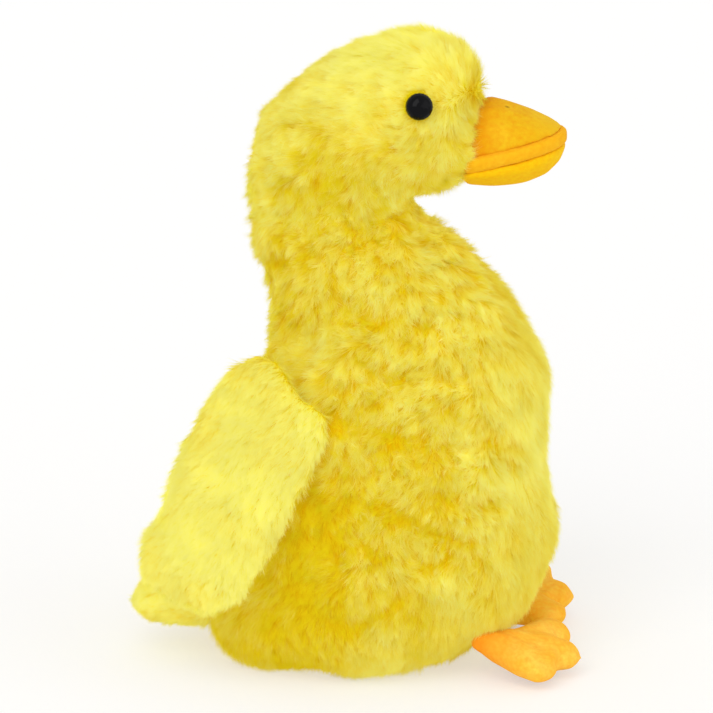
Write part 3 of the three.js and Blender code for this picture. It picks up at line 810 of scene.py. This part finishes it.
def comb_strands(roots, out, ways, tufty, area, seed, rng):
    """How each strand lies, how near it is to its tuft's edge, and the strand that its wisp follows."""
    count = len(roots)
    swirl = wide_swirl * ripples(roots, 70 * mm, seed) + small_swirl * ripples(roots, 24 * mm, seed + 1)
    lay = turned(laid_flat(ways, out), out, tufty * swirl)
    lay /= np.maximum(np.linalg.norm(lay, axis=1, keepdims=True), shortest_lay)
    inward = roots[nearest(roots, tuft_size, area, rng)] - roots
    edge = np.clip(np.linalg.norm(inward, axis=1) / tuft_edge, 0, 1)
    lay = laid_flat(lay + gathering * (tufty * edge)[:, None] * unit(inward), out)
    wisp = nearest(roots, wisp_size, area, rng)
    stray = (0.1 + 0.3 * tufty) * rng.normal(0, 1, count)[wisp] + rng.normal(0, 0.25, count)
    return turned(lay, out, stray), edge, wisp


print("tufts of", tuft_size / mm, "mm and wisps of", wisp_size / mm, "mm")

# %% [markdown]
# ## Tips and tones
# No two strands are the same length or colour, but those of one wisp are much alike. Plain random numbers
# would look like static, so each value has a share that the whole wisp has in common and a smaller one of
# its own. Tips lean to their wisp's tip, and the edges of tufts are dyed warmer and their middles paler,
# as painted shade between the tufts and painted light on them.

# %% Tips and tones
lowest_tip, least_rise = 0.4 * mm, 0.1
lean_to_wisp = 0.5
palest, warmest = 0.97, 0.03


def strand_tips(roots, out, lay, wisp, length, lift, seed, rng):
    """Where each strand ends. The length is one for all or one for each, and lift is how steep they are."""
    count = len(roots)
    rise = lift * (1 + 0.15 * ripples(roots, 20 * mm, seed + 2))
    rise = rise + rng.normal(0, 0.06, count)[wisp] + rng.normal(0, 0.1, count)
    rise = np.maximum(rise, least_rise)[:, None]
    reach = (rng.uniform(0.85, 1.15, count)[wisp] * rng.uniform(0.7, 1.1, count) * length)[:, None]
    tips = roots + reach * unit(rise * out + lay)
    tips += lean_to_wisp * (tips[wisp] - tips) * rng.uniform(0.2, 1, (count, 1))
    tips[:, 2] = np.maximum(tips[:, 2], lowest_tip)
    return tips


def strand_tones(tones, tufty, edge, wisp, rng):
    """0 for a warm strand, 1 for a pale one."""
    count = len(tones)
    # Painted shade at the edges of tufts, painted light in their middles.
    tones = tones + tufty * (0.1 - 0.3 * edge**2 + rng.normal(0, 0.2, count)[wisp])
    return np.clip(tones + rng.normal(0, 0.06, count), warmest, palest)


print("tones run from", warmest, "to", palest)

# %% [markdown]
# ## Blades
# A strand is one triangle, wide at the root and pointed at the tip. Round tubes would be truer, but at a
# million strands they'd be far too many faces. Its normals point out from the skin and not from the
# blade, so that the pile is shaded as one soft surface. The map named OFBake holds its tone across and
# its length up.

# %% Blades
strand_width = 0.3 * mm
blade_on_map = 0.0015
root_on_map, tip_on_map = 0.02, 0.98


def strand_mesh(name, roots, tips, sides, tones, normals):
    """Blades from a wide root to a pointed tip, coloured through their own map, which two of them span."""
    count = len(roots)
    tones = np.concatenate([[warmest, palest], tones[2:]])
    points = np.stack([roots - sides, roots + sides, tips], 1)
    mesh = bpy.data.meshes.new(name)
    mesh.vertices.add(3 * count)
    mesh.vertices.foreach_set("co", points.astype(np.float32).ravel())
    mesh.loops.add(3 * count)
    mesh.loops.foreach_set("vertex_index", np.arange(3 * count, dtype=np.int32))
    mesh.polygons.add(count)
    mesh.polygons.foreach_set("loop_start", 3 * np.arange(count, dtype=np.int32))
    across = np.array([-1, 1, 0]) * blade_on_map
    along = np.array([root_on_map, root_on_map, tip_on_map])
    spots = np.stack([tones[:, None] + across, np.broadcast_to(along, (count, 3))], 2)
    mesh.uv_layers.new(name="OFBake")
    mesh.uv_layers["OFBake"].data.foreach_set("uv", spots.astype(np.float32).ravel())
    mesh.update()
    mesh.polygons.foreach_set("use_smooth", np.ones(count, bool))
    mesh.normals_split_custom_set_from_vertices(np.repeat(normals, 3, axis=0))
    mesh.materials.append(fur)
    piece = bpy.data.objects.new(name, mesh)
    scene.collection.objects.link(piece)
    return piece


print("blades are", strand_width / mm, "mm wide at the root")

# %% [markdown]
# ## Growing fur
# All the fur of the toy grows in the same steps: roots, combing, tips, tones, blades. Each part of the
# toy gives its own comb, tones and trim as functions of the place, which a brush could paint by hand but
# not as evenly. A coat with many strands is cut into pieces like slices of a cake, so that none gets too
# heavy.

# %% Growing fur
most_strands = 180000


def grow_fur(name, skin, body, comb, tone, tufts, count, length, lift, seed, keep=None, trim=None):
    rng = np.random.default_rng(seed)
    area = area_of(skin)
    roots, out = fur_roots(skin, count, rng)
    if keep is not None:
        kept = keep(roots)
        roots, out = roots[kept], out[kept]
    count = len(roots)
    tufty = tufts(roots)
    lay, edge, wisp = comb_strands(roots, out, comb(roots), tufty, area, seed, rng)
    trimmed = length if trim is None else length * trim(roots)
    tips = strand_tips(roots, out, lay, wisp, trimmed, lift, seed, rng)
    widths = strand_width * rng.uniform(0.7, 1.3, (count, 1))
    sides = 0.5 * widths * unit(np.cross(tips - roots, out))
    tones = strand_tones(tone(roots), tufty, edge, wisp, rng)
    normals = unit(out + 0.2 * unit(tips - roots) + 0.08 * rng.normal(0, 1, (count, 3))[wisp])
    parts = math.ceil(count / most_strands)
    angles = np.arctan2(roots[:, 1] - roots[:, 1].mean(), roots[:, 0] - roots[:, 0].mean())
    order = np.array_split(np.argsort(angles, kind="stable"), parts)
    for place, chosen in enumerate(order, 1):
        title = name if parts == 1 else f"{name}_{place}"
        piece = strand_mesh(title, *[rows[chosen] for rows in (roots, tips, sides, tones, normals)])
        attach(piece, body)
    print(name, count, "strands in", parts, "pieces")


print("a piece of fur has at most", most_strands, "strands")

# %% [markdown]
# ## Body fur
# The belly and back are combed down, and the pile parts a little at the folds, where it's shorter and
# shows its golden roots; there it is also dyed warmer, as painted shade in the creases. It is dyed warm
# behind the wing and low on the belly as painted shade, and pale under the chin and down the front as
# painted light, and smooth down the front. Tones could be painted on the skin, but soft spots in the side
# view hold for both sides and can be read.

# %% Body fur
combed_down = np.array([-0.15, 0, -1])
throat_hollow = (24, 207, 9)
# Painted shade behind the wing and low down, painted light under the chin and down the front.
wing_shadow, low_shade = (-25, 65, 32), (-40, 20, 35)
chin_light, front = (35, 200, 22), (80, 105, 38)


def combed_off_folds(spots):
    away = unit(from_folds(spots))
    parting = np.stack([away[:, 0], np.zeros(len(spots)), away[:, 1]], 1)
    near = 0.25 * fold_depth(spots, 6 * mm)[:, None]
    return (1 - near) * combed_down + near * parting


def shorter_at_throat(spots):
    return 1 - 0.6 * soft_spot(spots, *throat_hollow)


def shorter_at_folds(spots):
    return shorter_at_throat(spots) * (1 - 0.35 * fold_depth(spots, 6 * mm))


def body_tone(spots):
    tone = 0.46 + 0.08 * ripples(spots, 55 * mm, 61) + 0.07 * ripples(spots, 15 * mm, 62)
    # Painted shade: strands in the folds are dyed warmer.
    tone -= 0.6 * fold_depth(spots, 4 * mm)
    for place, painted_light_or_shade in ((wing_shadow, -0.4), (low_shade, -0.3), (chin_light, 0.3), (front, 0.4)):
        tone += painted_light_or_shade * soft_spot(spots, *place)
    return tone


def body_tufts(spots):
    """Smoother down the front and low on the belly."""
    forward, up = side_view(spots).T / mm
    return np.interp(forward, [48, 73], [1, 0.3]) * np.interp(up, [15, 55], [0.5, 1])


def outside_head(spots):
    return spots[:, 2] < 220 * mm


grow_fur(
    "body_fur", body_skin, "torso", combed_off_folds, body_tone, body_tufts, count=540000, length=8 * mm,
    lift=0.45, seed=101, keep=outside_head, trim=shorter_at_folds
)

# %% [markdown]
# ## Head fur
# The head is combed up the brow, back over the crown and down the neck, and forward over the seam where
# the bill is sewn on. It is paler than the body, paler still on the crown as a painted highlight, and
# warmer at the collar as painted shade under the head; it is trimmed round the eyes. A single direction
# could do for a small head, but then fur would lie across the eyes and bare the seam, so the comb turns
# with the place.

# %% Head fur
# Painted highlight on the crown and painted shade at the sides of the collar.
crown, collar_shade = (22, 288, 38), (-12, 212, 25)


def head_tone(spots):
    tone = 0.54 + 0.08 * ripples(spots, 50 * mm, 71) + 0.1 * ripples(spots, 12 * mm, 72)
    return tone + 0.45 * soft_spot(spots, *crown) - 0.25 * soft_spot(spots, *collar_shade)


def combed_over_head(spots):
    """Up the brow, back over the crown and down the neck; forward at the bill and off the eyes."""
    x, _, z = spots.T / mm
    low = np.interp(x, [18, 34, 46], [0, 1, 1.9]) * np.interp(z, [250, 272], [1, 0])
    neck = 0.85 * np.interp(z, [221, 243], [1, 0]) * np.interp(x, [18, 36], [1, 0])
    brow = np.interp(x, [34, 46], [0, 0.7]) * np.interp(z, [266, 274], [0, 1])
    angles = np.pi * (1 + 0.5 * np.maximum(low, neck) - 0.5 * brow)
    ways = np.stack([np.cos(angles), np.zeros(len(spots)), np.sin(angles)], 1)
    for middle in eye_middles:
        away = spots - middle
        near = np.exp(-((np.linalg.norm(away, axis=1) / (8 * mm)) ** 2))[:, None]
        ways = (1 - near) * ways + near * unit(away)
    return ways


def shorter_at_eyes(spots):
    return shorter_at_throat(spots) * (1 - 0.45 * near_eyes(spots, 11 * mm))


def head_tufts(spots):
    """Smoother over the crown."""
    return np.interp(spots[:, 2] / mm, [240, 272], [1, 0.4])


def clear_of_eyes(spots):
    clear = spots[:, 2] > 209 * mm
    for middle in eye_middles:
        across = np.linalg.norm((spots - middle)[:, [0, 2]], axis=1)
        clear &= (across > eye_radius) | (spots[:, 1] * middle[1] < 0)
    return clear


grow_fur(
    "head_fur", head_skin, "head", combed_over_head, head_tone, head_tufts, count=240000, length=8 * mm,
    lift=0.45, seed=201, keep=clear_of_eyes, trim=shorter_at_eyes
)

# %% [markdown]
# ## Wing and tail fur
# Wings and tail are flat pads with shorter, paler fur, combed from the root to the tip and out over the
# edges. The wings' paleness is partly the cream tone of their pile and partly painted light on faces
# turned to the lamp. One direction alone could do on their faces, but at the edges it would leave the
# seam bare, so strands near the rim also lean outwards.

# %% Wing and tail fur
rim = 55 * mm
wing_ways = {"right": (-0.454, -0.220, -0.864), "left": (-0.317, 0.292, -0.902)}


def combed_to_edges(skin, *way):
    middle = points_of(skin).mean(0)

    def comb(spots):
        out = spots - middle
        far = np.minimum(np.linalg.norm(out, axis=1, keepdims=True) / rim, 1)
        onward = np.clip(0.5 + unit(out) @ np.array(way), 0.25, 1)[:, None]
        return 0.8 * np.array(way) + onward * far**3 * unit(out)

    return comb


def evenly(share):
    return lambda spots: np.full(len(spots), share)


# Pale cream pile, partly painted light on the wing's face.
def wing_tone(spots):
    return 0.92 + 0.1 * ripples(spots, 30 * mm, 81)


def tail_tone(spots):
    return 0.7 + 0.12 * ripples(spots, 25 * mm, 82)


for side, way in wing_ways.items():
    grow_fur(
        f"{side}_wing_fur", wing_skins[side], f"{side}_wing", combed_to_edges(wing_skins[side], *way),
        wing_tone, evenly(0.25), count=95000, length=7 * mm, lift=0.45, seed=301
    )
grow_fur(
    "tail_fur", tail_skin, "tail", combed_to_edges(tail_skin, -1, 0, -0.1), tail_tone, evenly(0.5),
    count=40000, length=6 * mm, lift=0.38, seed=401
)

# %% [markdown]
# ## Bill
# The bill is velour over firm filling, in an upper and a lower half, with a paler lip round the lower
# one. One mesh with a painted line could do, but the lower half opens, so each is a skin of its own. Both
# reach back into the face, so that no gap shows at the seam, and all three sit a little further in.

# %% Bill
bill_voxel, lip_voxel = 1.6 * mm, 1.2 * mm
velour_swell = 0.8 * mm
into_face = Vector((-1, 0, -0.2)) * mm
upper_bill = stuffed_skin(
    "upper_bill", ["upper_bill_cover", "upper_bill_filling", "upper_bill_lining"], "head",
    bill_velour, bill_voxel, inset=-0.3 * mm, swell=velour_swell, root=5 * into_face
)
lower_bill = stuffed_skin(
    "lower_bill_pad", ["lower_bill_cover", "lower_bill_filling"], "lower_bill",
    brightened_lower_velour, bill_voxel, inset=-0.9 * mm, swell=velour_swell, root=3 * into_face
)
lip = stuffed_skin(
    "lower_bill_lip", ["lower_bill_lining"], "lower_bill", brightened_lip_velour, lip_voxel,
    inset=-0.9 * mm, swell=velour_swell
)
for piece, way in ((upper_bill, (-1, 0, 0)), (lower_bill, (-1, 0, -0.8)), (lip, (-0.5, 0, 0))):
    set_points(piece, points_of(piece) + np.array(way) * mm)
    print(piece.name, "is moved by", way, "mm")

# %% [markdown]
# ## Feet
# Each foot is one velour pad with three toes, stuffed firm and sewn to the belly at its heel. The two
# could be mirror images, but filling by hand leaves them different: the right heel is bent up, and the
# left foot is fuller at its heel and at one toe. Moving points by their distance from a place does both.

# %% Feet
foot_voxel = 1.6 * mm
heel_length, heel_bend = 8 * mm, 24 * mm
heel_lift, heel_narrowing = 4 * mm, 0.35
left_heel, left_toe = (64, 38, 10), (92, 62, 18)


def raise_heel(foot):
    """Narrows the heel a little and bends it up to the belly."""
    points = points_of(foot)
    heel = points[points[:, 0] < points[:, 0].min() + heel_length].mean(0)
    near = np.interp(points[:, 0], [heel[0], heel[0] + heel_bend], [1, 0])
    points[:, 1] -= heel_narrowing * near * (points[:, 1] - heel[1])
    points[:, 2] += heel_lift * near
    set_points(foot, points)


def fill_out(foot, place, way, radius):
    """Draws a foot out at one place, in mm."""
    points = points_of(foot)
    away = np.linalg.norm(points - np.array(place) * mm, axis=1)
    set_points(foot, points + np.exp(-((away / (radius * mm)) ** 2))[:, None] * np.array(way) * mm)


feet = {}
for side in ("right", "left"):
    nodes = [f"{side}_foot_{part}" for part in ("upper", "sole", "filling")]
    feet[side] = stuffed_skin(
        f"{side}_foot_pad", nodes, f"{side}_foot", foot_velour, foot_voxel,
        inset=-0.8 * mm, swell=velour_swell
    )
raise_heel(feet["right"])
fill_out(feet["left"], left_heel, way=(-5, -6, -6), radius=14)
fill_out(feet["left"], left_toe, way=(3, 2, 2), radius=10)

# %% [markdown]
# ## Eyes
# The eyes are black plastic domes, each held by a washer inside the head. They could be modelled again
# with more faces, but the CAD solids are round enough, so they stay and only get their finish.

# %% Eyes
for side in ("right", "left"):
    for node, look in ((f"{side}_eye", eye_gloss), (f"{side}_eye_washer", washer_plastic)):
        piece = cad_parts[node]
        piece.data.materials.clear()
        piece.data.materials.append(look)
        print(node, "is", look.name)
